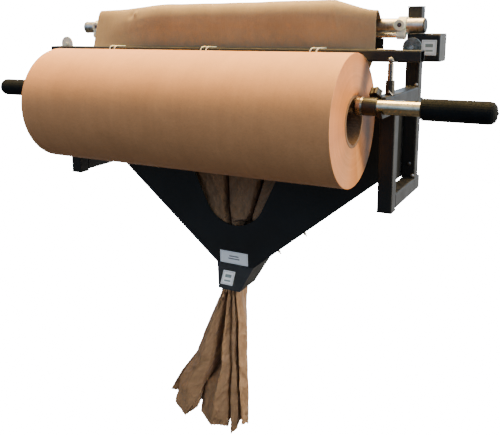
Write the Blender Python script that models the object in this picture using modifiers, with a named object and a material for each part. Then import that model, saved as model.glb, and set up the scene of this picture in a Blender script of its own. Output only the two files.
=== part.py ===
"""Wall-mounted kraft paper dispenser and crumpler.

A 24 inch paper roll hangs on a lift-out shaft between two side frames of one
inch square tube. The paper runs under a brake bar, up in a loose arch, over a
guide roller and down into a sheet steel funnel, whose throat gathers it into a
crumpled strip. Metres, +Z up, +X along the roll, -Y towards the user. The
origin is the centre of the wall rail's back face, on the wall.
"""

import math

import bmesh
import bpy
from mathutils import Matrix, Vector

INCH = 0.0254
GAP = 0.0003

# Side frames
TUBE = INCH
TUBE_WALL = 0.0016
TUBE_CORNER = 0.0025
FRAME_X = 0.3388
WALL_RAIL_DEPTH = 0.0129
WALL_RAIL_HEIGHT = 0.038
REAR_POST_Y = -WALL_RAIL_DEPTH - GAP - TUBE / 2
FRONT_POST_Y = -0.1723
BASE_Z = -0.1529
REAR_POST_TOP = 0.1797
ARM_FRONT_Y = -0.2106

# Paper roll, shaft and what is on it
ROLL_Y = -0.2465
SHAFT_Z = 0.0291
SHAFT_R = 0.0113
SHAFT_BORE_R = 0.0097
SHAFT_LEFT = -0.4580
SHAFT_RIGHT = 0.5050
CORE_IN_R = 0.0365
CORE_OUT_R = 0.0415
ROLL_R = 0.1061
ROLL_WIDTH = 24 * INCH
ROLL_Z = SHAFT_Z - (CORE_IN_R - SHAFT_R - GAP)
GRIP_R = 0.0166
GRIP_LENGTH = 0.1055
GRIP_LEFT_END = -0.4663
GRIP_RIGHT_END = 0.5133
HUB_X = (0.3054, 0.3194)
COLLAR_X = (0.3197, 0.3417)
COLLAR_R = 0.0141
KNOB_X = 0.3315
KNOB_ANGLE = math.radians(42)
KNOB_R = 0.0098

# Cradle plates at the front end of the top arms
CRADLE_THICKNESS = 0.0075
CRADLE_BASE = -0.0166
CRADLE_TOP = 0.0145
CRADLE_TOP_START_Y = 0.0065
LIP_START_Y = -0.0074
LIP_TIP = (-0.0172, -0.0042)
SEAT_START = 228

# Brake bar and its two lifting rods
BAR_LENGTH = 0.7754
BAR_HEIGHT = 0.01905
BAR_BOTTOM = 0.0930
ROD_R = 0.00475
ROD_X = 0.3435
ROD_Y = -0.1915
ROD_BALL_Z = 0.0968
ROD_BALL_R = 0.0051
ROD_BOTTOM = SHAFT_Z - 0.0095
SLEEVE_R = 0.0073
SLEEVE_HEIGHT = 0.0228
WASHER_X = 0.3670
WASHER_R = 0.0152
WASHER_THICKNESS = 0.0024
TAB_WIDTH = 0.0120
TAB_THICKNESS = 0.0030
TAB_TOP = 0.1212
BOLT_Z = 0.1160
BOLT_R = 0.0020
BOLT_HEAD_R = 0.0036
BOLT_HEAD = 0.0030

# Guide roller, its bearings, and the rod and plate in front of it
ROLLER_Y = -0.0893
ROLLER_Z = 0.1494
ROLLER_R = 0.01225
ROLLER_BORE_R = 0.01065
ROLLER_LENGTH = 0.7370
BEARING_R = 0.0155
BEARING_X = 0.3332
BEARING_WIDTH = 0.0140
LUG_HALF = 0.0065
GUIDE_ROD_Y = -0.0995
GUIDE_ROD_Z = 0.1335
GUIDE_ROD_R = 0.0047
GUIDE_PLATE_SIZE = (0.606, 0.0020, 0.0290)

# Side block with its end cap
BLOCK_X = (0.3408, 0.3930)
BLOCK_Y = (-0.0885, -0.0390)
BLOCK_Z = (0.0890, 0.1360)
BLOCK_WALL = 0.0025
BLOCK_CAP = 0.0024

# Funnel
SHEET = 0.0015
FUNNEL_HALF = 0.3245
FUNNEL_FRONT_Y = -0.0942
FUNNEL_BACK_Y = -WALL_RAIL_DEPTH - GAP
FUNNEL_BACK_TOP = 0.0220
FUNNEL_FRONT_TOP = 0.0130
FUNNEL_SHOULDER_Z = -0.1075
SKIRT_Z = -0.1270
BEND_Z = -0.3390
BEND_HALF = 0.0433
NOTCH_R = 0.0710
NOTCH_Z = -0.1820
NOTCH_SIDE = (0.0780, -0.1840)
NOTCH_TOP_HALF = 0.1700
EXIT_Z = -0.3850
EXIT_HALF = 0.0255
EXIT_FRONT_Y = -0.1198
EXIT_BACK_Y = -0.0539

# Labels: width, height, thickness
FUNNEL_LABEL = (0.0660, 0.0265, 0.0005)
THROAT_LABEL = (0.0280, 0.0290, 0.0005)
BLOCK_LABEL = (0.0245, 0.0255, 0.0005)

PAPER = 0.0006
SIDES = (("left", -1), ("right", 1))

# Local x, y and z of a flat outline that stands in the YZ, XZ or XY plane
IN_YZ = Matrix(((0, 0, 1), (1, 0, 0), (0, 1, 0)))
IN_XZ = Matrix(((1, 0, 0), (0, 0, -1), (0, 1, 0)))
IN_XY = Matrix.Identity(3)


# ---------------------------------------------------------------- helpers


def clear_scene():
    for obj in list(bpy.data.objects):
        bpy.data.objects.remove(obj, do_unlink=True)


def new_collection(name):
    collection = bpy.data.collections.new(name)
    bpy.context.scene.collection.children.link(collection)
    return collection


def new_material(name, color, roughness, metallic=0.0):
    material = bpy.data.materials.new(name)
    material.use_nodes = True
    shader = material.node_tree.nodes["Principled BSDF"]
    shader.inputs["Base Color"].default_value = (*color, 1.0)
    shader.inputs["Roughness"].default_value = roughness
    shader.inputs["Metallic"].default_value = metallic
    return material


clear_scene()
PARTS = new_collection("paper_dispenser")
CUTTERS = new_collection("cutters")

LOOKS = {
    "powder_black": ((0.013, 0.013, 0.014), 0.45, 0.0),
    "funnel_black": ((0.016, 0.017, 0.018), 0.50, 0.0),
    "grey_cap": ((0.16, 0.16, 0.165), 0.50, 0.0),
    "black_plastic": ((0.010, 0.010, 0.011), 0.40, 0.0),
    "foam": ((0.012, 0.012, 0.013), 0.90, 0.0),
    "nickel": ((0.62, 0.60, 0.55), 0.22, 1.0),
    "zinc": ((0.60, 0.61, 0.62), 0.30, 1.0),
    "grey_zinc": ((0.20, 0.22, 0.21), 0.40, 0.6),
    "nylon": ((0.82, 0.81, 0.72), 0.45, 0.0),
    "kraft": ((0.56, 0.36, 0.22), 0.85, 0.0),
    "core_board": ((0.42, 0.27, 0.17), 0.90, 0.0),
    "label": ((0.75, 0.76, 0.76), 0.50, 0.0),
}


def add(name, data, look, collection=None):
    """One named object with a material of its own."""
    obj = bpy.data.objects.new(name, data)
    (collection or PARTS).objects.link(obj)
    if look:
        color, roughness, metallic = LOOKS[look]
        data.materials.append(new_material(name, color, roughness, metallic))
    return obj


def smooth(obj, angle=35):
    obj.data.shade_smooth()
    obj.data.set_sharp_from_angle(angle=math.radians(angle))


def arc(centre, radius, start, end, count):
    """Points on an arc, both ends included, with the angles in degrees."""
    turns = [math.radians(start + (end - start) * i / (count - 1)) for i in range(count)]
    return [(centre[0] + radius * math.cos(t), centre[1] + radius * math.sin(t)) for t in turns]


def rectangle(width, height, corner=0.0, steps=3):
    """A rectangle about the origin, with round corners if a corner radius is given."""
    if not corner:
        return [(-width / 2, -height / 2), (width / 2, -height / 2), (width / 2, height / 2), (-width / 2, height / 2)]
    points = []
    for i, (sx, sy) in enumerate(((1, 1), (-1, 1), (-1, -1), (1, -1))):
        centre = (sx * (width / 2 - corner), sy * (height / 2 - corner))
        points += arc(centre, corner, 90 * i, 90 * i + 90, steps)
    return points


def turns_left(outline):
    """Whether a closed outline goes anticlockwise."""
    pairs = zip(outline, outline[1:] + outline[:1])
    return sum(a[0] * b[1] - a[1] * b[0] for a, b in pairs) > 0


def flat(name, outlines, thickness, plane, location, look, collection=None):
    """A plate: flat outlines, the first one outside and the others holes, with a thickness."""
    outlines = [outline if turns_left(outline) else outline[::-1] for outline in outlines]
    curve = bpy.data.curves.new(name, "CURVE")
    curve.dimensions = "2D"
    curve.fill_mode = "BOTH"
    curve.extrude = thickness / 2
    for outline in outlines:
        spline = curve.splines.new("POLY")
        spline.points.add(len(outline) - 1)
        for point, (x, y) in zip(spline.points, outline):
            point.co = (x, y, 0, 1)
        spline.use_cyclic_u = True
    obj = add(name, curve, look, collection)
    obj.matrix_world = Matrix.Translation(location) @ plane.to_4x4()
    return obj


def as_mesh(obj):
    """The same object as a mesh with welded caps, which a Boolean can cut."""
    bpy.context.view_layer.update()
    graph = bpy.context.evaluated_depsgraph_get()
    mesh = bpy.data.meshes.new_from_object(obj.evaluated_get(graph))
    work = bmesh.new()
    work.from_mesh(mesh)
    bmesh.ops.remove_doubles(work, verts=work.verts, dist=1e-6)
    bmesh.ops.recalc_face_normals(work, faces=work.faces)
    work.to_mesh(mesh)
    work.free()
    name = obj.name
    place = obj.matrix_world.copy()
    collection = obj.users_collection[0]
    bpy.data.objects.remove(obj, do_unlink=True)
    mesh.name = name
    copy = bpy.data.objects.new(name, mesh)
    collection.objects.link(copy)
    copy.matrix_world = place
    return copy


def turned(name, profile, axis, location, look, steps=32, ring=False, collection=None):
    """A solid turned about an axis. The profile is (radius, height) from top to bottom;
    a ring's profile closes on itself, down the outside and up the bore."""
    mesh = bpy.data.meshes.new(name)
    edges = [(i, i + 1) for i in range(len(profile) - 1)]
    if ring:
        edges.append((len(profile) - 1, 0))
    mesh.from_pydata([(r, 0, z) for r, z in profile], edges, [])
    obj = add(name, mesh, look, collection)
    screw = obj.modifiers.new("Turn", "SCREW")
    screw.steps = steps
    screw.render_steps = steps
    screw.use_merge_vertices = True
    screw.merge_threshold = 1e-5
    screw.use_smooth_shade = True
    obj.rotation_mode = "QUATERNION"
    obj.rotation_quaternion = Vector((0, 0, 1)).rotation_difference(Vector(axis).normalized())
    obj.location = location
    return obj


def pipe_profile(radius, bore, length):
    half = length / 2
    return [(radius, half), (radius, -half), (bore, -half), (bore, half)]


def rod_profile(radius, length):
    half = length / 2
    return [(0, half), (radius, half), (radius, -half), (0, -half)]


def block(name, size, centre, look, bevel=0.0, collection=None):
    mesh = bpy.data.meshes.new(name)
    work = bmesh.new()
    bmesh.ops.create_cube(work, size=1.0)
    bmesh.ops.scale(work, vec=size, verts=work.verts)
    work.to_mesh(mesh)
    work.free()
    obj = add(name, mesh, look, collection)
    obj.location = centre
    if bevel:
        edge = obj.modifiers.new("Edge", "BEVEL")
        edge.width = bevel
        edge.segments = 2
    return obj


def boolean(obj, other, operation):
    step = obj.modifiers.new(operation.title(), "BOOLEAN")
    step.operation = operation
    step.solver = "EXACT"
    step.object = other
    other.hide_render = True
    other.display_type = "WIRE"


def loft(name, sections, look):
    """A closed solid through rings of points, with flat ends."""
    mesh = bpy.data.meshes.new(name)
    work = bmesh.new()
    rings = [[work.verts.new(point) for point in section] for section in sections]
    count = len(rings[0])
    for lower, upper in zip(rings, rings[1:]):
        for i in range(count):
            j = (i + 1) % count
            work.faces.new((lower[i], lower[j], upper[j], upper[i]))
    work.faces.new(rings[0][::-1])
    work.faces.new(rings[-1])
    bmesh.ops.recalc_face_normals(work, faces=work.faces)
    work.to_mesh(mesh)
    work.free()
    return add(name, mesh, look)


def square_tube(name, length, plane, centre, look="powder_black"):
    outside = rectangle(TUBE, TUBE, TUBE_CORNER)
    inside = rectangle(TUBE - 2 * TUBE_WALL, TUBE - 2 * TUBE_WALL)
    return flat(name, [outside, inside], length, plane, centre, look)


# ---------------------------------------------------------------- side frames


def tube_plug(name, centre, direction):
    """A plastic plug in the end of a tube, with a thin head outside it."""
    head = 0.0028
    stem = TUBE - 2 * TUBE_WALL - 2 * GAP
    top = block(name, (TUBE, TUBE, head), centre + Vector((0, 0, direction * (head / 2 + GAP))), "black_plastic")
    insert = block(name + "_stem", (stem, stem, 0.0120), centre - Vector((0, 0, direction * 0.0050)), None, collection=CUTTERS)
    boolean(top, insert, "UNION")


def cradle_outline():
    """A hook that opens up and forwards, with a short lip in front, about the shaft's axis.
    Local x is world Y and local y is world Z."""
    seat_r = SHAFT_R + GAP
    back = ARM_FRONT_Y - ROLL_Y - GAP
    outline = [(back, CRADLE_TOP), (back, CRADLE_BASE), (LIP_START_Y, CRADLE_BASE), LIP_TIP]
    outline += arc((0, 0), seat_r, SEAT_START, 360, 10)
    outline += [(seat_r, 0.0060), (CRADLE_TOP_START_Y, 0.0105), (CRADLE_TOP_START_Y, CRADLE_TOP)]
    return outline


def build_side_frame(side, sign):
    x = sign * FRAME_X
    rail_top = BASE_Z + TUBE
    arm_bottom = SHAFT_Z - TUBE / 2
    rear_face = REAR_POST_Y - TUBE / 2
    front_back = FRONT_POST_Y + TUBE / 2

    front_length = arm_bottom - GAP - BASE_Z
    square_tube(side + "_front_post", front_length, IN_XY, (x, FRONT_POST_Y, BASE_Z + front_length / 2))
    rear_length = REAR_POST_TOP - rail_top - GAP
    square_tube(side + "_rear_post", rear_length, IN_XY, (x, REAR_POST_Y, REAR_POST_TOP - rear_length / 2))
    rail_length = -front_back - GAP
    square_tube(side + "_bottom_rail", rail_length, IN_XZ, (x, -rail_length / 2, BASE_Z + TUBE / 2))

    arm_length = rear_face - GAP - ARM_FRONT_Y
    arm = as_mesh(square_tube(side + "_top_arm", arm_length, IN_XZ, (x, ARM_FRONT_Y + arm_length / 2, SHAFT_Z)))
    hole = turned(
        side + "_rod_hole", rod_profile(ROD_R + 2 * GAP, TUBE), (0, 0, 1),
        (sign * ROD_X, ROD_Y, SHAFT_Z + TUBE / 2), None, 20, collection=CUTTERS,
    )
    boolean(arm, hole, "DIFFERENCE")

    tube_plug(side + "_front_foot", Vector((x, FRONT_POST_Y, BASE_Z)), -1)
    tube_plug(side + "_rear_post_cap", Vector((x, REAR_POST_Y, REAR_POST_TOP)), 1)

    cradle_x = sign * (FRAME_X + TUBE / 2 - CRADLE_THICKNESS / 2)
    flat(side + "_shaft_cradle", [cradle_outline()], CRADLE_THICKNESS, IN_YZ, (cradle_x, ROLL_Y, SHAFT_Z), "powder_black")


def build_wall_rail():
    """The flat bar across the back that is screwed to the wall, with four screw holes."""
    width = 2 * FRAME_X + TUBE
    holes = []
    for x in (-0.28, -0.12, 0.12, 0.28):
        holes.append(arc((x, 0), 0.0035, 0, 330, 12))
    outline = rectangle(width, WALL_RAIL_HEIGHT)
    flat("wall_rail", [outline] + holes, WALL_RAIL_DEPTH, IN_XZ, (0, -WALL_RAIL_DEPTH / 2, 0), "powder_black")


# ---------------------------------------------------------------- shaft and roll


def grip_profile():
    """A foam grip closed by a round end with a small nib. It goes over the shaft's end."""
    end = 0.0083
    bore = SHAFT_R + GAP
    profile = [(0, end + 0.0020), (0.0018, end + 0.0015), (0.0032, end)]
    profile += [(x, y) for x, y in arc((GRIP_R - 0.0105, end - 0.0105), 0.0105, 90, 0, 6)]
    profile += [(GRIP_R, end - GRIP_LENGTH + 0.0020), (GRIP_R - 0.0020, end - GRIP_LENGTH)]
    profile += [(bore, end - GRIP_LENGTH), (bore, GAP), (0, GAP)]
    return profile


def build_shaft():
    length = SHAFT_RIGHT - SHAFT_LEFT
    centre = ((SHAFT_LEFT + SHAFT_RIGHT) / 2, ROLL_Y, SHAFT_Z)
    turned("shaft_tube", pipe_profile(SHAFT_R, SHAFT_BORE_R, length), (1, 0, 0), centre, "nickel", 32, ring=True)
    ends = {"left": SHAFT_LEFT, "right": SHAFT_RIGHT}
    for side, sign in SIDES:
        out = (sign, 0, 0)
        turned(side + "_grip", grip_profile(), out, (ends[side], ROLL_Y, SHAFT_Z), "foam", 28)

        inner = HUB_X[0]
        thick = HUB_X[1] - inner
        hub = [(0.0135, thick), (0.0148, thick - 0.0030), (0.0148, 0.0050), (0.0125, 0), (SHAFT_R + GAP, 0)]
        hub += [(SHAFT_R + GAP, thick)]
        turned(side + "_core_hub", hub, out, (sign * inner, ROLL_Y, SHAFT_Z), "zinc", 28, ring=True)

        centre = (sign * (COLLAR_X[0] + COLLAR_X[1]) / 2, ROLL_Y, SHAFT_Z)
        collar = pipe_profile(COLLAR_R, SHAFT_R + GAP, COLLAR_X[1] - COLLAR_X[0])
        ring = turned(side + "_shaft_collar", collar, out, centre, "black_plastic", 28, ring=True)
        build_knob(side, sign, ring)


def build_knob(side, sign, ring):
    """A lobed hand knob on a screw that goes through the collar to the shaft."""
    direction = Vector((0, math.cos(KNOB_ANGLE), math.sin(KNOB_ANGLE)))
    root = Vector((sign * KNOB_X, ROLL_Y, SHAFT_Z)) + direction * (SHAFT_R + GAP)
    lobes = []
    for i in range(40):
        turn = 2 * math.pi * i / 40
        radius = KNOB_R * (0.90 + 0.10 * math.cos(5 * turn))
        lobes.append((radius * math.cos(turn), radius * math.sin(turn)))
    screw_length = 0.0090
    head = 0.0130
    facing = Vector((0, 0, 1)).rotation_difference(direction).to_matrix()
    centre = root + direction * (screw_length + head / 2)
    knob = as_mesh(flat(side + "_collar_knob", [lobes], head, facing, centre, "black_plastic"))
    stem = turned(
        side + "_knob_screw", rod_profile(0.0030, screw_length + 0.0020), direction,
        root + direction * (screw_length + 0.0020) / 2, None, 16, collection=CUTTERS,
    )
    boolean(knob, stem, "UNION")
    hole = turned(
        side + "_knob_hole", rod_profile(0.0030 + GAP, 0.0120), direction,
        root + direction * 0.0040, None, 16, collection=CUTTERS,
    )
    boolean(ring, hole, "DIFFERENCE")


def build_roll():
    centre = (0, ROLL_Y, ROLL_Z)
    turned("paper_core", pipe_profile(CORE_OUT_R, CORE_IN_R, ROLL_WIDTH), (1, 0, 0), centre, "core_board", 48, ring=True)
    roll = pipe_profile(ROLL_R, CORE_OUT_R + GAP, ROLL_WIDTH)
    turned("paper_roll", roll, (1, 0, 0), centre, "kraft", 80, ring=True)


# ---------------------------------------------------------------- brake bar


def build_brake_bar():
    """A tube that lies just over the roll on two lifting rods. Behind it, near each end,
    stands a tab that holds a large washer with a bolt."""
    outside = rectangle(TUBE, BAR_HEIGHT, TUBE_CORNER)
    inside = rectangle(TUBE - 2 * TUBE_WALL, BAR_HEIGHT - 2 * TUBE_WALL)
    centre_z = BAR_BOTTOM + BAR_HEIGHT / 2
    bar = as_mesh(flat("brake_bar", [outside, inside], BAR_LENGTH, IN_YZ, (0, FRONT_POST_Y, centre_z), "powder_black"))
    back = FRONT_POST_Y + TUBE / 2
    tab_front = back + 2 * GAP + WASHER_THICKNESS
    tab_back = tab_front + TAB_THICKNESS
    tab_foot = BAR_BOTTOM + 0.0010
    for side, sign in SIDES:
        x = sign * WASHER_X
        tab = block(
            side + "_bar_tab", (TAB_WIDTH, TAB_THICKNESS, TAB_TOP - tab_foot),
            (x, (tab_front + tab_back) / 2, (TAB_TOP + tab_foot) / 2), None, collection=CUTTERS,
        )
        bridge = block(
            side + "_tab_bridge", (TAB_WIDTH - 0.0010, tab_back - back, 0.0050),
            (x, (back + tab_back) / 2 - 0.0007, tab_foot + 0.0030), None, collection=CUTTERS,
        )
        hole = turned(
            side + "_tab_hole", rod_profile(BOLT_R + GAP, 0.0100), (0, 1, 0),
            (x, tab_front + 0.0030, BOLT_Z), None, 12, collection=CUTTERS,
        )
        boolean(tab, bridge, "UNION")
        boolean(tab, hole, "DIFFERENCE")
        boolean(bar, tab, "UNION")
        washer = pipe_profile(WASHER_R, BOLT_R + GAP, WASHER_THICKNESS)
        place = (x, back + GAP + WASHER_THICKNESS / 2, BOLT_Z)
        turned(side + "_bar_washer", washer, (0, 1, 0), place, "grey_zinc", 28, ring=True)
        build_bar_bolt(side, x, back)
        build_lifting_rod(side, sign)


def build_bar_bolt(side, x, back):
    """A hex bolt through the washer and the tab, its head in front, just above the bar."""
    shank = WASHER_THICKNESS + TAB_THICKNESS + 0.0050
    head_back = Vector((x, back, BOLT_Z))
    hexagon = arc((0, 0), BOLT_HEAD_R, 30, 330, 6)
    head = flat(side + "_bar_bolt", [hexagon], BOLT_HEAD, IN_XZ, head_back - Vector((0, BOLT_HEAD / 2, 0)), "zinc")
    bolt = as_mesh(head)
    stem = turned(
        side + "_bolt_shank", rod_profile(BOLT_R, shank + 0.0010), (0, 1, 0),
        head_back + Vector((0, shank / 2 - 0.0005, 0)), None, 12, collection=CUTTERS,
    )
    boolean(bolt, stem, "UNION")


def build_lifting_rod(side, sign):
    x = sign * ROD_X
    bar_front = FRONT_POST_Y - TUBE / 2
    length = ROD_BALL_Z - ROD_BOTTOM
    centre = (x, ROD_Y, (ROD_BALL_Z + ROD_BOTTOM) / 2)
    profile = [(0, length / 2 + ROD_BALL_R)]
    profile += [(r, length / 2 + h) for r, h in arc((0, 0), ROD_BALL_R, 70, -50, 7)]
    profile += [(ROD_R, length / 2 - 0.0052), (ROD_R, -length / 2), (0, -length / 2)]
    rod = turned(side + "_lift_rod", profile, (0, 0, 1), centre, "zinc", 20)
    reach = bar_front - GAP - ROD_Y
    stud = turned(
        side + "_rod_stud", rod_profile(0.0026, reach), (0, 1, 0),
        (x, ROD_Y + reach / 2, ROD_BALL_Z), None, 12, collection=CUTTERS,
    )
    boolean(rod, stud, "UNION")

    foot = SHAFT_Z + TUBE / 2 + GAP
    centre = (x, ROD_Y, foot + SLEEVE_HEIGHT / 2)
    profile = pipe_profile(SLEEVE_R, ROD_R + GAP, SLEEVE_HEIGHT)
    sleeve = turned(side + "_rod_sleeve", profile, (0, 0, 1), centre, "black_plastic", 24, ring=True)
    pin_centre = Vector((x + sign * 0.0010, ROD_Y - SLEEVE_R, foot + 0.0055))
    pin_axis = Vector((0.35, 1.0, 0.0))
    hole = turned(
        side + "_pin_hole", rod_profile(0.0014 + GAP, 0.0050), pin_axis,
        pin_centre, None, 12, collection=CUTTERS,
    )
    boolean(sleeve, hole, "DIFFERENCE")
    turned(side + "_sleeve_pin", rod_profile(0.0014, 0.0040), pin_axis, pin_centre - pin_axis * 0.0006, "zinc", 12)


# ---------------------------------------------------------------- guide roller


def bearing_outline():
    """A round housing about the roller, with a tail round the guide rod in front and a
    lug back to the rear post. Local x is world Y and local y is world Z, about the roller."""
    rod = (GUIDE_ROD_Y - ROLLER_Y, GUIDE_ROD_Z - ROLLER_Z)
    lug_end = REAR_POST_Y - TUBE / 2 - GAP - ROLLER_Y
    outline = [(lug_end, LUG_HALF)]
    outline += arc((0, 0), BEARING_R, 25, 205, 15)
    outline += arc(rod, 0.0070, 165, 330, 8)
    outline += [(-0.0012, -0.0150), (0.0060, -0.0143), (0.0125, -0.0090), (lug_end, -LUG_HALF)]
    return outline, rod


def build_guide_roller():
    centre = (0, ROLLER_Y, ROLLER_Z)
    turned("guide_roller", pipe_profile(ROLLER_R, ROLLER_BORE_R, ROLLER_LENGTH), (1, 0, 0), centre, "zinc", 32, ring=True)
    outline, rod = bearing_outline()
    for side, sign in SIDES:
        out = (sign, 0, 0)
        end = (sign * (ROLLER_LENGTH / 2 + GAP), ROLLER_Y, ROLLER_Z)
        cap = [(0, 0.0026), (ROLLER_R - 0.0012, 0.0026), (ROLLER_R + 0.0004, 0.0012), (ROLLER_R + 0.0004, 0)]
        cap += [(ROLLER_BORE_R - GAP, 0), (ROLLER_BORE_R - GAP, -0.0100), (0, -0.0100)]
        turned(side + "_roller_cap", cap, out, end, "black_plastic", 28)

        bore = arc((0, 0), ROLLER_R + GAP + 0.0001, 0, 348.75, 32)
        rod_bore = arc(rod, GUIDE_ROD_R + GAP, 0, 345, 24)
        place = (sign * BEARING_X, ROLLER_Y, ROLLER_Z)
        bearing = as_mesh(flat(side + "_roller_bearing", [outline, bore, rod_bore], BEARING_WIDTH, IN_YZ, place, "nylon"))
        screw_x = sign * (BEARING_X - 0.0025)
        front = Vector((screw_x, ROLLER_Y - BEARING_R + 0.0002, ROLLER_Z + 0.0010))
        hole = turned(
            side + "_screw_hole", rod_profile(0.0018 + GAP, 0.0046), (0, 1, 0),
            front, None, 12, collection=CUTTERS,
        )
        boolean(bearing, hole, "DIFFERENCE")
        build_slotted_screw(side, front)

    length = 2 * FRAME_X - 0.0010
    turned("guide_rod", rod_profile(GUIDE_ROD_R, length), (1, 0, 0), (0, GUIDE_ROD_Y, GUIDE_ROD_Z), "zinc", 24)
    drop = GUIDE_ROD_Z - GUIDE_ROD_R - GAP - GUIDE_PLATE_SIZE[2] / 2
    block("guide_plate", GUIDE_PLATE_SIZE, (0, GUIDE_ROD_Y, drop), "powder_black")


def build_slotted_screw(side, front):
    """A round-head screw with a straight slot, its shank in the bearing's front."""
    profile = [(0, 0.0026), (0.0022, 0.0022), (0.0036, 0.0010), (0.0036, GAP + 0.0001), (0.0018, GAP + 0.0001)]
    profile += [(0.0018, -0.0016), (0, -0.0016)]
    screw = turned(side + "_bearing_screw", profile, (0, -1, 0), front, "zinc", 16)
    slot = block(side + "_screw_slot", (0.0009, 0.0012, 0.0090), front - Vector((0, 0.0024, 0)), None, collection=CUTTERS)
    slot.rotation_euler = (0, math.radians(40), 0)
    boolean(screw, slot, "DIFFERENCE")


def build_side_block():
    """A short square tube across the right rear post, with a grey end cap and a label."""
    depth = BLOCK_Y[1] - BLOCK_Y[0]
    height = BLOCK_Z[1] - BLOCK_Z[0]
    middle_y = sum(BLOCK_Y) / 2
    middle_z = sum(BLOCK_Z) / 2
    outside = rectangle(depth, height, 0.0040)
    inside = rectangle(depth - 2 * BLOCK_WALL, height - 2 * BLOCK_WALL)
    length = BLOCK_X[1] - BLOCK_X[0]
    flat("side_block", [outside, inside], length, IN_YZ, (sum(BLOCK_X) / 2, middle_y, middle_z), "powder_black")
    cap = flat(
        "side_block_cap", [outside], BLOCK_CAP, IN_YZ,
        (BLOCK_X[1] + GAP + BLOCK_CAP / 2, middle_y, middle_z), "grey_cap",
    )
    cap = as_mesh(cap)
    stem_size = (0.0120, depth - 2 * BLOCK_WALL - 2 * GAP, height - 2 * BLOCK_WALL - 2 * GAP)
    stem = block("block_cap_stem", stem_size, (BLOCK_X[1] - 0.0050, middle_y, middle_z), None, collection=CUTTERS)
    boolean(cap, stem, "UNION")
    place = (0.3780, BLOCK_Y[0] - GAP - BLOCK_LABEL[2] / 2, middle_z + 0.0005)
    block("side_block_label", (BLOCK_LABEL[0], BLOCK_LABEL[2], BLOCK_LABEL[1]), place, "label")


# ---------------------------------------------------------------- funnel


def build_funnel():
    front_outline = [(FUNNEL_HALF, FUNNEL_FRONT_TOP), (NOTCH_TOP_HALF, FUNNEL_FRONT_TOP)]
    front_outline += [NOTCH_SIDE] + arc((0, NOTCH_Z), NOTCH_R, -20, -160, 17) + [(-NOTCH_SIDE[0], NOTCH_SIDE[1])]
    front_outline += [(-NOTCH_TOP_HALF, FUNNEL_FRONT_TOP), (-FUNNEL_HALF, FUNNEL_FRONT_TOP)]
    front_outline += [(-FUNNEL_HALF, FUNNEL_SHOULDER_Z), (-BEND_HALF, BEND_Z), (BEND_HALF, BEND_Z)]
    front_outline += [(FUNNEL_HALF, FUNNEL_SHOULDER_Z)]
    flat("funnel_front", [front_outline], SHEET, IN_XZ, (0, FUNNEL_FRONT_Y + SHEET / 2, 0), "funnel_black")

    back_outline = [(FUNNEL_HALF, FUNNEL_BACK_TOP), (-FUNNEL_HALF, FUNNEL_BACK_TOP)]
    back_outline += [(-FUNNEL_HALF, FUNNEL_SHOULDER_Z), (-BEND_HALF, BEND_Z), (BEND_HALF, BEND_Z)]
    back_outline += [(FUNNEL_HALF, FUNNEL_SHOULDER_Z)]
    flat("funnel_back", [back_outline], SHEET, IN_XZ, (0, FUNNEL_BACK_Y - SHEET / 2, 0), "funnel_black")

    near = FUNNEL_FRONT_Y + SHEET + GAP
    far = FUNNEL_BACK_Y - SHEET - GAP
    run = Vector((BEND_HALF - FUNNEL_HALF, BEND_Z - FUNNEL_SHOULDER_Z)).normalized()
    inwards = Vector((run.y, -run.x)) * SHEET
    corner_drop = SHEET * math.tan(math.atan2(-run.x, -run.y) / 2)
    skirt_inside = FUNNEL_HALF - SHEET
    for side, sign in SIDES:
        outline = [
            (sign * FUNNEL_HALF, FUNNEL_FRONT_TOP),
            (sign * skirt_inside, FUNNEL_FRONT_TOP),
            (sign * skirt_inside, FUNNEL_SHOULDER_Z + corner_drop),
            (sign * (BEND_HALF + inwards.x), BEND_Z + inwards.y + GAP),
            (sign * BEND_HALF, BEND_Z + GAP),
            (sign * skirt_inside, FUNNEL_SHOULDER_Z - SHEET * run.y / run.x),
            (sign * skirt_inside, SKIRT_Z),
            (sign * FUNNEL_HALF, SKIRT_Z),
        ]
        loft(side + "_funnel_side", [[(x, y, z) for x, z in outline] for y in (near, far)], "funnel_black")
    build_throat()
    build_labels()


def throat_ring(half, front, back, z):
    return [(-half, front, z), (half, front, z), (half, back, z), (-half, back, z)]


def build_throat():
    """An open tapered sleeve that turns the paper forwards, under the funnel's bend."""
    top = BEND_Z - GAP
    outer = loft(
        "funnel_throat",
        [
            throat_ring(BEND_HALF, FUNNEL_FRONT_Y, FUNNEL_BACK_Y, top),
            throat_ring(EXIT_HALF, EXIT_FRONT_Y, EXIT_BACK_Y, EXIT_Z),
        ],
        "funnel_black",
    )
    over = 0.0030
    inner = loft(
        "throat_hollow",
        [
            throat_ring(BEND_HALF - SHEET + over * 0.37, FUNNEL_FRONT_Y + SHEET * 1.1 + over * 0.53,
                        FUNNEL_BACK_Y - SHEET * 1.3 + over * 0.81, top + over),
            throat_ring(EXIT_HALF - SHEET - over * 0.37, EXIT_FRONT_Y + SHEET * 1.1 - over * 0.53,
                        EXIT_BACK_Y - SHEET * 1.3 - over * 0.81, EXIT_Z - over),
        ],
        None,
    )
    PARTS.objects.unlink(inner)
    CUTTERS.objects.link(inner)
    boolean(outer, inner, "DIFFERENCE")


def build_labels():
    width, height, thick = FUNNEL_LABEL
    place = (-0.0020, FUNNEL_FRONT_Y - GAP - thick / 2, BEND_Z + 0.0020 + height / 2)
    block("funnel_label", (width, thick, height), place, "label")

    width, height, thick = THROAT_LABEL
    top = Vector((0, FUNNEL_FRONT_Y, BEND_Z))
    slope = Vector((0, EXIT_FRONT_Y, EXIT_Z)) - top
    normal = Vector((0, slope.z, -slope.y)).normalized()
    place = top + slope * 0.55 + normal * (GAP + thick / 2)
    place.x = -0.0090
    label = block("throat_label", (width, thick, height), place, "label")
    label.rotation_euler = (math.atan2(slope.y, -slope.z), 0, 0)


# ---------------------------------------------------------------- paper


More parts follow.
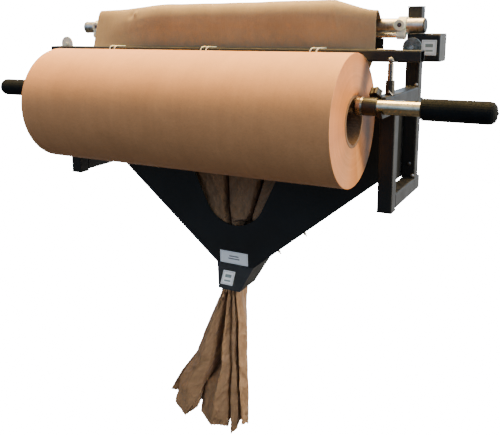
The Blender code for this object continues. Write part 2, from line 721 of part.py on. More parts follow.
def ribbon(name, path, halves, look):
    """A thin sheet across X that follows a path of (y, z), with a half width at each point."""
    sections = []
    for i, (y, z) in enumerate(path):
        before = Vector(path[max(i - 1, 0)])
        after = Vector(path[min(i + 1, len(path) - 1)])
        run = (after - before).normalized()
        side = Vector((-run.y, run.x)) * PAPER / 2
        half = halves[i]
        sections.append([
            (-half, y + side.x, z + side.y),
            (half, y + side.x, z + side.y),
            (half, y - side.x, z - side.y),
            (-half, y - side.x, z - side.y),
        ])
    return loft(name, sections, look)


def web_path():
    """Off the roll, under the brake bar, up in a loose arch and over the guide roller."""
    bar_y = FRONT_POST_Y + TUBE / 2
    under = BAR_BOTTOM - GAP - PAPER
    points = [(-0.1960, 0.0983), (-0.1856, under), (bar_y, under), (bar_y + 0.0016, under + 0.0020)]
    points += [(-0.1520, 0.1080), (-0.1480, 0.1250), (-0.1450, 0.1450), (-0.1425, 0.1640)]
    points += [(-0.1375, 0.1800), (-0.1270, 0.1860), (-0.1140, 0.1800), (-0.1020, 0.1680)]
    points += arc((ROLLER_Y, ROLLER_Z), ROLLER_R + 0.0010, 110, 5, 6)
    points += [(-0.0745, 0.1300), (-0.0710, 0.1100), (-0.0640, 0.0700)]
    return points


def oval(centre, half_x, half_y, z, count=16):
    points = []
    for i in range(count):
        turn = 2 * math.pi * i / count
        points.append((centre[0] + half_x * math.cos(turn), centre[1] + half_y * math.sin(turn), z))
    return points


def build_paper():
    path = web_path()
    halves = [ROLL_WIDTH / 2] * 10 + [0.3030, 0.3000] + [0.2950] * 6 + [0.2900, 0.2820, 0.2660]
    ribbon("paper_web", path, halves, "kraft")

    gather = [
        (0.0690, 0.2660, 0.0040, -0.0640),
        (0.0000, 0.2300, 0.0060, -0.0580),
        (-0.0800, 0.1800, 0.0100, -0.0540),
        (-0.1600, 0.1250, 0.0150, -0.0540),
        (-0.2400, 0.0800, 0.0200, -0.0560),
        (-0.3000, 0.0470, 0.0210, -0.0600),
        (-0.3400, 0.0320, 0.0180, -0.0680),
        (-0.3860, 0.0210, 0.0165, -0.0905),
    ]
    loft("paper_gather", [oval((0, y), half_x, half_y, z) for z, half_x, half_y, y in gather], "kraft")

    tail = [
        (-0.3863, 0.0205, 0.0160, 0.0000, -0.0906),
        (-0.4100, 0.0350, 0.0180, -0.0015, -0.0950),
        (-0.4830, 0.0555, 0.0200, -0.0130, -0.1020),
        (-0.5780, 0.0770, 0.0220, -0.0350, -0.1050),
        (-0.6490, 0.0970, 0.0230, -0.0545, -0.1060),
        (-0.6900, 0.1065, 0.0230, -0.0635, -0.1060),
        (-0.7280, 0.0960, 0.0200, -0.0570, -0.1060),
    ]
    loft("paper_tail", [oval((x, y), half_x, half_y, z) for z, half_x, half_y, x, y in tail], "kraft")


def build():
    for side, sign in SIDES:
        build_side_frame(side, sign)
    build_wall_rail()
    build_shaft()
    build_roll()
    build_brake_bar()
    build_guide_roller()
    build_side_block()
    build_funnel()
    build_paper()


build()
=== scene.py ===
import math

import bmesh
import bpy
import numpy as np
from mathutils import Matrix, Vector, noise


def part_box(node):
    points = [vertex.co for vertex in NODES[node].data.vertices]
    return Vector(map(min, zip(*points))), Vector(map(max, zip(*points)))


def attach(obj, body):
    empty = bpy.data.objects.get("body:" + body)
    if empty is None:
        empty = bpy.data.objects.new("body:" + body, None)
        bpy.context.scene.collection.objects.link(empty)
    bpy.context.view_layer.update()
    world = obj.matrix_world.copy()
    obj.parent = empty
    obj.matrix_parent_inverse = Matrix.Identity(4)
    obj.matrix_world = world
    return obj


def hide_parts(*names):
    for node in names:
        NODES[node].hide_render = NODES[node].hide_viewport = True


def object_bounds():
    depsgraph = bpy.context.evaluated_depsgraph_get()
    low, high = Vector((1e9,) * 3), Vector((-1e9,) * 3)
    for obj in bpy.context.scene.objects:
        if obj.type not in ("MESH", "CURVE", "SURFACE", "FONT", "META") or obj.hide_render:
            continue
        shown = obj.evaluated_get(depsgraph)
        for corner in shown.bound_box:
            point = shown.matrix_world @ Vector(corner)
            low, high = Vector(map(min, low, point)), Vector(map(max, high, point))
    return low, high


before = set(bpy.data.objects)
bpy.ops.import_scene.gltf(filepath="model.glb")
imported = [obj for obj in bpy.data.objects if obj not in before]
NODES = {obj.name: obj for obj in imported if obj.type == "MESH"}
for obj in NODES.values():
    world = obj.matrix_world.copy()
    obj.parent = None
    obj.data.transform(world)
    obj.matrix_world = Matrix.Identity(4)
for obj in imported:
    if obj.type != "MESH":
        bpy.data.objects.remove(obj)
cad_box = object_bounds()
SIDES = (("left", -1), ("right", 1))

WORLD_LEVEL = 1.0
ROLL_Y = -0.2465
ROLL_Z = 0.0042
BAR_HEIGHT = 0.01905


# ---------------------------------------------------------------- materials


class Look:
    """A node material being built: a Principled BSDF and short ways to feed it."""

    def __init__(self, name, **sockets):
        self.material = bpy.data.materials.new(name)
        self.material.use_nodes = True
        self.tree = self.material.node_tree
        self.bsdf = self.tree.nodes["Principled BSDF"]
        for key, value in sockets.items():
            self.bsdf.inputs[key.replace("_", " ")].default_value = value

    def node(self, kind, **settings):
        made = self.tree.nodes.new(kind)
        for key, value in settings.items():
            setattr(made, key, value)
        return made

    def link(self, source, target):
        self.tree.links.new(source, target)

    def where(self, scale=(1, 1, 1), rotation=(0, 0, 0), location=(0, 0, 0), uv=False):
        coord = self.node("ShaderNodeTexCoord")
        mapping = self.node("ShaderNodeMapping")
        self.link(coord.outputs["UV" if uv else "Object"], mapping.inputs["Vector"])
        mapping.inputs["Scale"].default_value = scale
        mapping.inputs["Rotation"].default_value = rotation
        mapping.inputs["Location"].default_value = location
        return mapping.outputs["Vector"]

    def noise(self, scale, detail=3.0, roughness=0.55, vector=None, distortion=0.0):
        made = self.node("ShaderNodeTexNoise")
        made.inputs["Scale"].default_value = scale
        made.inputs["Detail"].default_value = detail
        made.inputs["Roughness"].default_value = roughness
        made.inputs["Distortion"].default_value = distortion
        self.link(vector or self.where(), made.inputs["Vector"])
        return made.outputs["Fac"]

    def ramp(self, factor, *stops):
        made = self.node("ShaderNodeValToRGB")
        elements = made.color_ramp.elements
        while len(elements) < len(stops):
            elements.new(0.5)
        for element, (position, color) in zip(elements, stops):
            element.position = position
            element.color = (*color, 1) if len(color) == 3 else color
        self.link(factor, made.inputs["Fac"])
        return made.outputs["Color"]

    def math(self, operation, a, b=None):
        made = self.node("ShaderNodeMath", operation=operation)
        for socket, value in zip(made.inputs, (a, b)):
            if value is None:
                continue
            if isinstance(value, (int, float)):
                socket.default_value = value
            else:
                self.link(value, socket)
        return made.outputs[0]

    def mix(self, factor, a, b, blend="MIX"):
        made = self.node("ShaderNodeMix", data_type="RGBA", blend_type=blend)
        for socket, value in ((made.inputs["Factor"], factor), (made.inputs[6], a), (made.inputs[7], b)):
            if isinstance(value, (int, float)):
                socket.default_value = value
            elif isinstance(value, tuple):
                socket.default_value = (*value, 1)
            else:
                self.link(value, socket)
        return made.outputs[2]

    def span(self, factor, low, high, start=0.0, end=1.0):
        made = self.node("ShaderNodeMapRange")
        self.link(factor, made.inputs["Value"])
        for key, value in (("From Min", start), ("From Max", end), ("To Min", low), ("To Max", high)):
            made.inputs[key].default_value = value
        return made.outputs["Result"]

    def color(self, source):
        self.link(source, self.bsdf.inputs["Base Color"])

    def rough(self, source):
        self.link(source, self.bsdf.inputs["Roughness"])

    def bump(self, *layers):
        """Bumps from (height, depth in metres, strength), the first one the broadest."""
        last = None
        for height, depth, strength in layers:
            made = self.node("ShaderNodeBump")
            made.inputs["Distance"].default_value = depth
            made.inputs["Strength"].default_value = strength
            self.link(height, made.inputs["Height"])
            if last:
                self.link(last, made.inputs["Normal"])
            last = made.outputs["Normal"]
        self.link(last, self.bsdf.inputs["Normal"])

    def up_facing(self, low=0.06, high=1.0):
        """1 on faces that look up, 0 elsewhere."""
        geometry = self.node("ShaderNodeNewGeometry")
        split = self.node("ShaderNodeSeparateXYZ")
        self.link(geometry.outputs["Normal"], split.inputs[0])
        return self.span(split.outputs["Z"], 0.0, 1.0, low, high)


def powder_black(name, dark, light, rough=(0.36, 0.55)):
    look = Look(name, Specular_IOR_Level=0.34)
    cloud = look.noise(9, 4)
    grain = look.noise(1400, 2, 0.6)
    base = look.ramp(cloud, (0.3, dark), (0.75, light))
    speck = look.ramp(look.noise(620, 3, 0.7), (0.68, (0, 0, 0)), (0.80, (0.05, 0.05, 0.05)))
    base = look.mix(0.6, base, speck, "ADD")
    dust = look.math("MULTIPLY", look.up_facing(), look.span(look.noise(60, 5), 0.0, 0.30, 0.35, 0.8))
    look.color(look.mix(dust, base, (0.10, 0.095, 0.088)))
    look.rough(look.span(look.noise(26, 5), rough[0], rough[1], 0.25, 0.8))
    look.bump((look.noise(180, 3), 0.0004, 0.12), (grain, 0.0002, 0.25))
    return look.material


def moulded(name, color, rough, bump=0.2):
    look = Look(name, Specular_IOR_Level=0.45)
    dark = tuple(c * 0.75 for c in color)
    light = tuple(c * 1.25 for c in color)
    look.color(look.ramp(look.noise(35, 5), (0.3, dark), (0.75, light)))
    look.rough(look.span(look.noise(70, 4), rough - 0.07, rough + 0.10, 0.3, 0.75))
    look.bump((look.noise(2300, 2, 0.6), 0.00015, bump))
    return look.material


def foam(name):
    look = Look(name, Sheen_Weight=0.02, Sheen_Roughness=0.5, Specular_IOR_Level=0.06)
    cell = look.node("ShaderNodeTexVoronoi")
    cell.inputs["Scale"].default_value = 750
    look.link(look.where(), cell.inputs["Vector"])
    pores = cell.outputs["Distance"]
    mottled = look.ramp(look.noise(55, 5), (0.3, (0.0034, 0.0052, 0.0072)), (0.8, (0.0068, 0.0100, 0.0135)))
    # painted shade: the foam is painted darker in the pits of its pores
    look.color(look.mix(look.span(pores, 0.35, 0.0, 0.0, 0.5), mottled, (0.002, 0.002, 0.002)))
    look.rough(look.span(look.noise(240, 3), 0.62, 0.82, 0.3, 0.7))
    look.bump((look.noise(45, 4), 0.0008, 0.25), (pores, 0.0004, 0.35))
    return look.material


def metal(name, low, high, rough, stretch=(1, 1, 1), scale=700, anisotropic=0.0):
    """Drawn or turned metal, with fine marks in the direction that stretch leaves long."""
    look = Look(name, Metallic=1.0, Anisotropic=anisotropic)
    marks = look.noise(scale, 4, 0.6, look.where(scale=stretch))
    broad = look.noise(28, 4)
    tint = look.ramp(marks, (0.3, low), (0.72, high))
    spots = look.ramp(look.noise(130, 5, 0.65), (0.36, (0.72, 0.70, 0.66)), (0.56, (1, 1, 1)))
    look.color(look.mix(1.0, tint, spots, "MULTIPLY"))
    look.rough(look.math("ADD", look.span(marks, -0.04, 0.06, 0.3, 0.7),
        look.span(broad, rough * 0.85, rough * 1.3, 0.3, 0.7)))
    look.bump((marks, 0.0001, 0.10))
    return look.material


def nylon(name):
    look = Look(name, Subsurface_Weight=0.12, Subsurface_Scale=0.004, IOR=1.5)
    look.color(look.ramp(look.noise(40, 5), (0.3, (0.70, 0.69, 0.58)), (0.75, (0.86, 0.855, 0.76))))
    look.rough(look.span(look.noise(120, 4), 0.34, 0.5, 0.3, 0.7))
    look.bump((look.noise(900, 3), 0.0002, 0.15))
    return look.material


def kraft(name, deep, mid, pale, crease=0.25, crumpled_from=None):
    """Brown kraft: long fibres, fine mottling, faint bands along the sheet and soft creases. A sheet
    with UVs in metres is crumpled from crumpled_from along its length."""
    look = Look(name, Specular_IOR_Level=0.28, Sheen_Weight=0.06, Sheen_Roughness=0.4)
    uv = crumpled_from is not None
    along = look.where(scale=(1, 0.08, 1) if uv else (0.25, 1, 1), uv=uv)
    fibre = look.noise(900, 5, 0.7, along)
    fleck = look.noise(330, 4, 0.75, look.where(uv=uv))
    cloud = look.noise(16, 5, 0.6, look.where(uv=uv), 0.4)
    band = look.noise(75, 3, 0.5, look.where(scale=(1, 0.03, 1) if uv else (1, 0.12, 0.12), uv=uv))
    base = look.ramp(cloud, (0.25, deep), (0.5, mid), (0.78, pale))
    base = look.mix(0.20, base,
        look.ramp(fibre, (0.25, tuple(c * 0.62 for c in mid)), (0.75, tuple(c * 1.3 for c in pale))))
    base = look.mix(0.45, base, look.ramp(fleck, (0.30, (0.78, 0.75, 0.72)), (0.55, (1, 1, 1))), "MULTIPLY")
    base = look.mix(0.35, base, look.ramp(band, (0.35, (0.88, 0.87, 0.86)), (0.65, (1.0, 1.0, 1.0))),
        "MULTIPLY")
    look.rough(look.span(fleck, 0.52, 0.76, 0.3, 0.75))
    wrinkle = look.noise(24, 6, 0.62, look.where(scale=(1, 0.3, 1) if uv else (0.45, 1, 1), uv=uv), 1.1)
    layers = [(wrinkle, 0.004, crease), (cloud, 0.002, 0.12), (fibre, 0.0001, 0.15)]
    if uv:
        split = look.node("ShaderNodeSeparateXYZ")
        look.link(look.where(uv=True), split.inputs[0])
        amount = look.span(split.outputs["Y"], 0.0, 1.0, crumpled_from, crumpled_from + 0.12)
        # painted shade: the uncrumpled sheet, from the roll to where the crumpling starts, is painted darker
        # and cooler
        smooth = look.span(amount, 1.0, 0.0, 0.0, 1.0)
        base = look.mix(smooth, base, look.mix(1.0, base, (0.74, 0.91, 1.10), "MULTIPLY"))
        base = look.mix(amount, base, look.mix(1.0, base, (0.78, 0.74, 0.72), "MULTIPLY"))
        for scale, stretch, depth in ((30, 0.45, 0.010), (85, 0.6, 0.0035)):
            cell = look.node("ShaderNodeTexVoronoi")
            cell.inputs["Scale"].default_value = scale
            bent = look.node("ShaderNodeVectorMath", operation="ADD")
            look.link(look.where(scale=(1, stretch, 1), uv=True), bent.inputs[0])
            push = look.node("ShaderNodeVectorMath", operation="SCALE")
            drift = look.node("ShaderNodeTexNoise")
            drift.inputs["Scale"].default_value = scale * 0.5
            look.link(look.where(uv=True), drift.inputs["Vector"])
            look.link(drift.outputs["Color"], push.inputs[0])
            push.inputs["Scale"].default_value = 0.9 / scale
            look.link(push.outputs[0], bent.inputs[1])
            look.link(bent.outputs[0], cell.inputs["Vector"])
            layers.insert(0, (look.math("MULTIPLY", cell.outputs["Distance"], amount), depth, 0.9))
            # painted shade: the crumpled sheet is painted darker along the crease lines between its cells
            crease_line_shade = look.span(cell.outputs["Distance"], 1.0, 0.80, 0.30, 0.85)
            gray = look.node("ShaderNodeCombineColor")
            for channel in gray.inputs:
                look.link(crease_line_shade, channel)
            base = look.mix(look.math("MULTIPLY", amount, 0.8), base,
                look.mix(1.0, base, gray.outputs[0], "MULTIPLY"))
    look.color(base)
    look.bump(*layers)
    return look.material


def roll_end(name):
    """The roll's end: hundreds of layer edges about the shaft, with soft radial glints from its anisotropic
    shine and painted highlight and painted shade in radial wedges of its colour.
    """
    look = Look(name, Specular_IOR_Level=0.6, Anisotropic=0.85, Roughness=0.38)
    tangent = look.node("ShaderNodeTangent", direction_type="RADIAL", axis="X")
    look.link(tangent.outputs[0], look.bsdf.inputs["Tangent"])
    split = look.node("ShaderNodeSeparateXYZ")
    look.link(look.where(), split.inputs[0])
    flat = look.node("ShaderNodeCombineXYZ")
    look.link(split.outputs["Y"], flat.inputs["X"])
    look.link(split.outputs["Z"], flat.inputs["Y"])
    length = look.node("ShaderNodeVectorMath", operation="LENGTH")
    look.link(flat.outputs[0], length.inputs[0])
    radius = length.outputs["Value"]
    ring = look.node("ShaderNodeCombineXYZ")
    look.link(radius, ring.inputs["X"])
    fine = look.noise(1500, 4, 0.7, ring.outputs[0])
    broad = look.noise(150, 4, 0.6, ring.outputs[0])
    stain = look.noise(26, 5, 0.6)
    angle = look.math("ARCTAN2", split.outputs["Z"], split.outputs["Y"])
    spokes = look.node("ShaderNodeCombineXYZ")
    look.link(look.math("SINE", angle), spokes.inputs["X"])
    look.link(look.math("COSINE", angle), spokes.inputs["Y"])
    fan = look.noise(2.4, 4, 0.6, spokes.outputs[0], 0.3)
    smear = look.noise(70, 4, 0.6, spokes.outputs[0])
    turn = look.math("ADD", look.math("DIVIDE", angle, 2 * math.pi), 0.5)
    turn = look.math("ADD", turn, look.span(smear, -0.012, 0.012, 0.3, 0.7))
    # painted highlight and painted shade: wedges about the shaft are lighter and creamier where glints fall,
    # and duller and darker towards the back, where shade falls
    wedge_painted_tones = {"bright": (1.12, 1.10, 1.08), "plain": (1.0, 0.98, 0.96), "cream": (1.25, 1.42, 1.60),
        "dull": (0.42, 0.44, 0.48), "dark": (0.22, 0.24, 0.28)}
    painted_light_wedges = look.ramp(turn, *((place, wedge_painted_tones[kind]) for place, kind in (
        (0.00, "bright"), (0.16, "plain"), (0.22, "bright"), (0.285, "plain"), (0.30, "cream"),
            (0.325, "plain"),
        (0.345, "dull"), (0.40, "dull"), (0.435, "dark"), (0.50, "dark"), (0.56, "dull"), (0.60, "plain"),
        (0.625, "dull"), (0.655, "dark"), (0.675, "dull"), (0.705, "plain"), (0.78, "bright"),
            (1.00, "bright"))))
    base = look.ramp(broad, (0.3, (0.58, 0.225, 0.062)), (0.55, (0.68, 0.272, 0.080)),
        (0.8, (0.76, 0.34, 0.13)))
    base = look.mix(0.5, base, look.ramp(fine, (0.3, (0.66, 0.62, 0.60)), (0.7, (1.05, 1.02, 1.0))),
        "MULTIPLY")
    base = look.mix(0.5, base,
        look.ramp(fan, (0.34, (0.80, 0.76, 0.74)), (0.50, (1.0, 1.0, 1.0)), (0.62, (1.08, 1.09, 1.10))),
            "MULTIPLY")
    base = look.mix(1.0, base, painted_light_wedges, "MULTIPLY")
    base = look.mix(0.35, base, look.ramp(stain, (0.35, (0.80, 0.76, 0.74)), (0.65, (1, 1, 1))), "MULTIPLY")
    look.color(base)
    look.bump((broad, 0.0006, 0.35), (fine, 0.0003, 0.4))
    return look.material


def board(name):
    look = Look(name, Specular_IOR_Level=0.3)
    spiral = look.node("ShaderNodeTexWave", wave_type="BANDS", bands_direction="X")
    spiral.inputs["Scale"].default_value = 7
    spiral.inputs["Distortion"].default_value = 1.2
    look.link(look.where(rotation=(0, 0, 0.9)), spiral.inputs["Vector"])
    base = look.ramp(look.noise(420, 4, 0.7), (0.3, (0.16, 0.095, 0.058)), (0.75, (0.30, 0.19, 0.125)))
    look.color(look.mix(look.span(spiral.outputs["Fac"], 0.0, 0.5, 0.90, 1.0), base, (0.07, 0.045, 0.03)))
    look.rough(look.span(look.noise(200, 4), 0.45, 0.75, 0.3, 0.7))
    look.bump((look.noise(300, 4), 0.0004, 0.3))
    return look.material


def blank_label(name, blocks=()):
    """A blank printed label: pale stock with plain blocks of colour."""
    look = Look(name, Specular_IOR_Level=0.5, Coat_Weight=0.15, Coat_Roughness=0.2)
    coord = look.node("ShaderNodeTexCoord")
    split = look.node("ShaderNodeSeparateXYZ")
    look.link(coord.outputs["Generated"], split.inputs[0])
    x, z = split.outputs["X"], split.outputs["Z"]
    base = look.ramp(look.noise(90, 4), (0.3, (0.84, 0.86, 0.88)), (0.75, (0.92, 0.93, 0.94)))
    for (x0, x1, z0, z1), color in blocks:
        inside = look.math("MULTIPLY", look.math("GREATER_THAN", x, x0), look.math("LESS_THAN", x, x1))
        inside = look.math("MULTIPLY", inside, look.math("GREATER_THAN", z, z0))
        inside = look.math("MULTIPLY", inside, look.math("LESS_THAN", z, z1))
        base = look.mix(inside, base, color)
    look.color(base)
    look.rough(look.span(look.noise(60, 4), 0.30, 0.48, 0.3, 0.7))
    look.bump((look.noise(500, 3), 0.0001, 0.12))
    return look.material


FRAME_BLACK = powder_black("frame_powder_coat", (0.0050, 0.0058, 0.0066), (0.0095, 0.0108, 0.0122))
SHEET_BLACK = powder_black("funnel_powder_coat", (0.0060, 0.0070, 0.0080), (0.0120, 0.0136, 0.0152),
    (0.42, 0.62))
PLASTIC_BLACK = moulded("black_plastic", (0.006, 0.006, 0.0065), 0.40)
PLASTIC_GREY = moulded("grey_plastic", (0.032, 0.034, 0.037), 0.48)
FOAM = foam("foam_rubber")
NICKEL = metal("nickel_tube", (0.54, 0.47, 0.36), (0.80, 0.73, 0.58), 0.17, (0.03, 1, 1), 900, 0.4)
ZINC = metal("zinc_plate", (0.54, 0.51, 0.47), (0.82, 0.78, 0.72), 0.24)
DARK_STEEL = metal("dark_steel", (0.13, 0.13, 0.13), (0.30, 0.30, 0.30), 0.26)
# painted reflection: the hub is a darker, browner copy of the nickel tube, for the roll's end reflected in it
HUB_STEEL_PAINTED_REFLECTION = metal("hub_steel_painted_reflection", (0.20, 0.17, 0.14), (0.36, 0.31, 0.26), 0.24, (0.03, 1, 1), 900, 0.4)
ROLLER_STEEL = metal("roller_steel", (0.50, 0.47, 0.44), (0.74, 0.70, 0.65), 0.30, (1, 0.05, 0.05), 800, 0.3)
WASHER_GREY = metal("dull_plate", (0.13, 0.14, 0.125), (0.25, 0.265, 0.24), 0.34, (1, 1, 1), 260)
NYLON = nylon("white_nylon")
BOARD = board("core_board")
ROLL_SIDE = kraft("kraft_roll_side", (0.53, 0.262, 0.118), (0.59, 0.294, 0.134), (0.65, 0.330, 0.152),
    crease=0.08)
ROLL_END = roll_end("kraft_layer_edges")
SHEET_PAPER = kraft("kraft_sheet", (0.35, 0.210, 0.108), (0.42, 0.250, 0.130), (0.49, 0.292, 0.152),
    crease=0.25, crumpled_from=0.42)
LABEL_LONG = blank_label("long_label", blocks=(
    ((0.03, 0.97, 0.05, 0.95), (0.70, 0.72, 0.75)),
    ((0.05, 0.95, 0.09, 0.91), (0.88, 0.90, 0.92)),
    ((0.33, 0.67, 0.56, 0.66), (0.20, 0.20, 0.22)),
    ((0.30, 0.70, 0.36, 0.46), (0.20, 0.20, 0.22)),
))
LABEL_SQUARE = blank_label("square_label", blocks=(
    ((0.06, 0.94, 0.06, 0.94), (0.50, 0.50, 0.53)),
    ((0.10, 0.90, 0.10, 0.90), (0.90, 0.91, 0.93)),
    ((0.24, 0.76, 0.52, 0.74), (0.24, 0.29, 0.28)),
    ((0.24, 0.76, 0.24, 0.34), (0.24, 0.29, 0.28)),
))

NODE_LOOKS = {
    "front_post": FRAME_BLACK, "rear_post": FRAME_BLACK, "bottom_rail": FRAME_BLACK, "top_arm": FRAME_BLACK,
    "shaft_cradle": FRAME_BLACK, "front_foot": PLASTIC_BLACK, "rear_post_cap": PLASTIC_BLACK,
    "shaft_collar": PLASTIC_BLACK, "collar_knob": PLASTIC_BLACK, "rod_sleeve": PLASTIC_BLACK,
    "roller_cap": PLASTIC_BLACK, "grip": FOAM, "core_hub": HUB_STEEL_PAINTED_REFLECTION, "lift_rod": DARK_STEEL,
        "bar_bolt": ZINC,
    "sleeve_pin": ZINC, "bearing_screw": DARK_STEEL, "bar_washer": WASHER_GREY, "roller_bearing": NYLON,
    "funnel_side": SHEET_BLACK, "wall_rail": FRAME_BLACK, "brake_bar": FRAME_BLACK, "side_block": FRAME_BLACK,
    "guide_plate": FRAME_BLACK, "guide_rod": ZINC, "guide_roller": ROLLER_STEEL, "shaft_tube": NICKEL,
    "paper_core": BOARD, "funnel_front": SHEET_BLACK, "funnel_back": SHEET_BLACK,
        "funnel_throat": SHEET_BLACK,
    "side_block_cap": PLASTIC_GREY, "funnel_label": LABEL_LONG, "throat_label": LABEL_SQUARE,
    "side_block_label": LABEL_SQUARE, "paper_roll": ROLL_SIDE, "paper_web": SHEET_PAPER,
    "paper_gather": SHEET_PAPER, "paper_tail": SHEET_PAPER,
}


def dress_nodes():
    for name, node in NODES.items():
        plain = name.split("_", 1)[1] if name.startswith(("left_", "right_")) else name
        # painted highlight: the left bar washer and its bolt take the white nylon look, a lit copy of the
        # grey washer and zinc bolt on the right
        look = NYLON if name in ("left_bar_washer", "left_bar_bolt") else NODE_LOOKS[plain]
        for slot in node.material_slots:
            slot.material = look


# ---------------------------------------------------------------- mesh helpers


def mesh_object(name, vertices, faces, material, body, smooth=True):
    mesh = bpy.data.meshes.new(name)
    mesh.from_pydata([tuple(v) for v in vertices], [], faces)
    mesh.update()
    if smooth:
        mesh.shade_smooth()
    mesh.materials.append(material)
    obj = bpy.data.objects.new(name, mesh)
    bpy.context.scene.collection.objects.link(obj)
    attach(obj, body)
    return obj


def grid_faces(rows, columns, closed=False):
    faces = []
    last = columns if closed else columns - 1
    for i in range(rows - 1):
        for j in range(last):
            k = (j + 1) % columns
            faces.append((i * columns + j, i * columns + k, (i + 1) * columns + k, (i + 1) * columns + j))
    return faces


def lathe(name, profile, origin, axis, material, body, steps=32, ends=True):
    """A turned piece from (radius, height) along axis, from its start to its end."""
    turn = Vector((0, 0, 1)).rotation_difference(Vector(axis).normalized()).to_matrix()
    vertices = []
    for radius, height in profile:
        for j in range(steps):
            angle = 2 * math.pi * j / steps
            vertices.append(Vector(origin) + turn @ Vector((radius * math.cos(angle),
                radius * math.sin(angle), height)))
    faces = grid_faces(len(profile), steps, closed=True)
    if ends:
        faces.append(tuple(range(steps))[::-1])
        faces.append(tuple((len(profile) - 1) * steps + j for j in range(steps)))
    obj = mesh_object(name, vertices, faces, material, body)
    obj.data.set_sharp_from_angle(angle=math.radians(40))
    return obj


def wire(name, points, radius, material, body):
    curve = bpy.data.curves.new(name, "CURVE")
    curve.dimensions = "3D"
    curve.bevel_depth = radius
    curve.bevel_resolution = 3
    curve.resolution_u = 6
    curve.use_fill_caps = True
    spline = curve.splines.new("BEZIER")
    spline.bezier_points.add(len(points) - 1)
    for point, place in zip(spline.bezier_points, points):
        point.co = place
        point.handle_left_type = "AUTO"
        point.handle_right_type = "AUTO"
    curve.materials.append(material)
    obj = bpy.data.objects.new(name, curve)
    bpy.context.scene.collection.objects.link(obj)
    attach(obj, body)
    return obj


# ---------------------------------------------------------------- the wound roll


def wobble(*place):
    return noise.noise(Vector(place))


def build_roll():
    """The roll as wound layers: its ends show rings of layer edges, its side very slight bands."""
    inner, outer, half = 0.0418, 0.1061, 0.3048
    steps = 144
    rings = 46
    profile = []
    for i in range(rings):
        t = i / (rings - 1)
        radius = inner + (outer - 0.0006 - inner) * t
        sunk = 0.0002 + 0.00028 * (1 + wobble(radius * 900, 0.3, 0.1)) * (0.5 if 0 < i < rings - 1 else 1)
        profile.append((radius, sunk))
    end_rows = [(r, half - sunk) for r, sunk in profile]
    side_rows = [(outer - 0.00012 * (1 + wobble(k * 0.9, 7.1, 2.2)),
        half - 0.0006 - (2 * half - 0.0012) * k / 40) for k in range(41)]
    far_rows = [(r, -half + sunk) for r, sunk in reversed(profile)]
    rows = end_rows + side_rows + far_rows
    vertices = []
    for radius, x in rows:
        for j in range(steps):
            angle = 2 * math.pi * j / steps
            dent = 0.0
            if radius > outer - 0.0004:
                dent = 0.00025 * max(0.0, wobble(x * 9, math.cos(angle) * 1.6, math.sin(angle) * 1.6))
            shrink = radius - dent
            vertices.append((x, shrink * math.cos(angle), shrink * math.sin(angle)))
    faces = grid_faces(len(rows), steps, closed=True)
    base = (len(rows) - 1) * steps
    for j in range(steps):
        k = (j + 1) % steps
        faces.append((base + j, base + k, k, j))
    mesh = bpy.data.meshes.new("wound_roll")
    mesh.from_pydata(vertices, [], faces)
    work = bmesh.new()
    work.from_mesh(mesh)
    bmesh.ops.recalc_face_normals(work, faces=work.faces)
    work.to_mesh(mesh)
    work.free()
    mesh.shade_smooth()
    mesh.materials.append(ROLL_SIDE)
    mesh.materials.append(ROLL_END)
    for face in mesh.polygons:
        if abs(face.normal.x) > 0.5:
            face.material_index = 1
    mesh.set_sharp_from_angle(angle=math.radians(50))
    roll = bpy.data.objects.new("wound_roll", mesh)
    bpy.context.scene.collection.objects.link(roll)
    roll.location = (0, ROLL_Y, ROLL_Z)
    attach(roll, "roll")
    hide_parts("paper_roll")


# ---------------------------------------------------------------- the sheet of paper


SHEET_WIDTH = 0.6096


def step(t, start, end):
    t = np.clip((t - start) / (end - start), 0, 1)
    return t * t * (3 - 2 * t)


def on_roll(degrees):
    angle = math.radians(degrees)
    return (ROLL_Y + 0.1068 * math.sin(angle), ROLL_Z + 0.1068 * math.cos(angle))


def on_roller(degrees):
    angle = math.radians(degrees)
    return (-0.0893 + 0.0129 * math.cos(angle), 0.1494 + 0.0129 * math.sin(angle))


LEAD = [on_roll(17), on_roll(24), on_roll(30), (-0.1800, 0.0920), (-0.1700, 0.0920), (-0.1610, 0.0922)]
ARCH = {
    "left": [(-0.1560, 0.0950), (-0.1500, 0.1040), (-0.1440, 0.1180), (-0.1375, 0.1380), (-0.1310, 0.1580),
             (-0.1255, 0.1740), (-0.1180, 0.1835), (-0.1070, 0.1815), (-0.1000, 0.1710), (-0.0980, 0.1640)],
    "middle": [(-0.1560, 0.0950), (-0.1540, 0.1060), (-0.1548, 0.1220), (-0.1570, 0.1420), (-0.1590, 0.1590),
               (-0.1580, 0.1740), (-0.1500, 0.1870), (-0.1350, 0.1925), (-0.1150, 0.1830), (-0.1020, 0.1670)],
    "right": [(-0.1560, 0.0950), (-0.1530, 0.1060), (-0.1515, 0.1200), (-0.1515, 0.1370), (-0.1520, 0.1530),
              (-0.1500, 0.1670), (-0.1440, 0.1750), (-0.1310, 0.1700), (-0.1170, 0.1635), (-0.1060, 0.1605)],
}
WRAP = [on_roller(118), on_roller(90), on_roller(60), on_roller(30), on_roller(2)]
FALL = [
    (-0.0755, 0.1300), (-0.0740, 0.1080), (-0.0700, 0.0800), (-0.0650, 0.0450), (-0.0610, 0.0050),
        (-0.0580, -0.0450),
    (-0.0560, -0.1000), (-0.0550, -0.1550), (-0.0555, -0.2050), (-0.0570, -0.2500), (-0.0600, -0.2900),
    (-0.0660, -0.3250), (-0.0760, -0.3560), (-0.0890, -0.3850), (-0.0960, -0.4130), (-0.1005, -0.4500),
    (-0.1030, -0.5000), (-0.1050, -0.5600), (-0.1060, -0.6300), (-0.1060, -0.7000), (-0.1060, -0.7300),
]


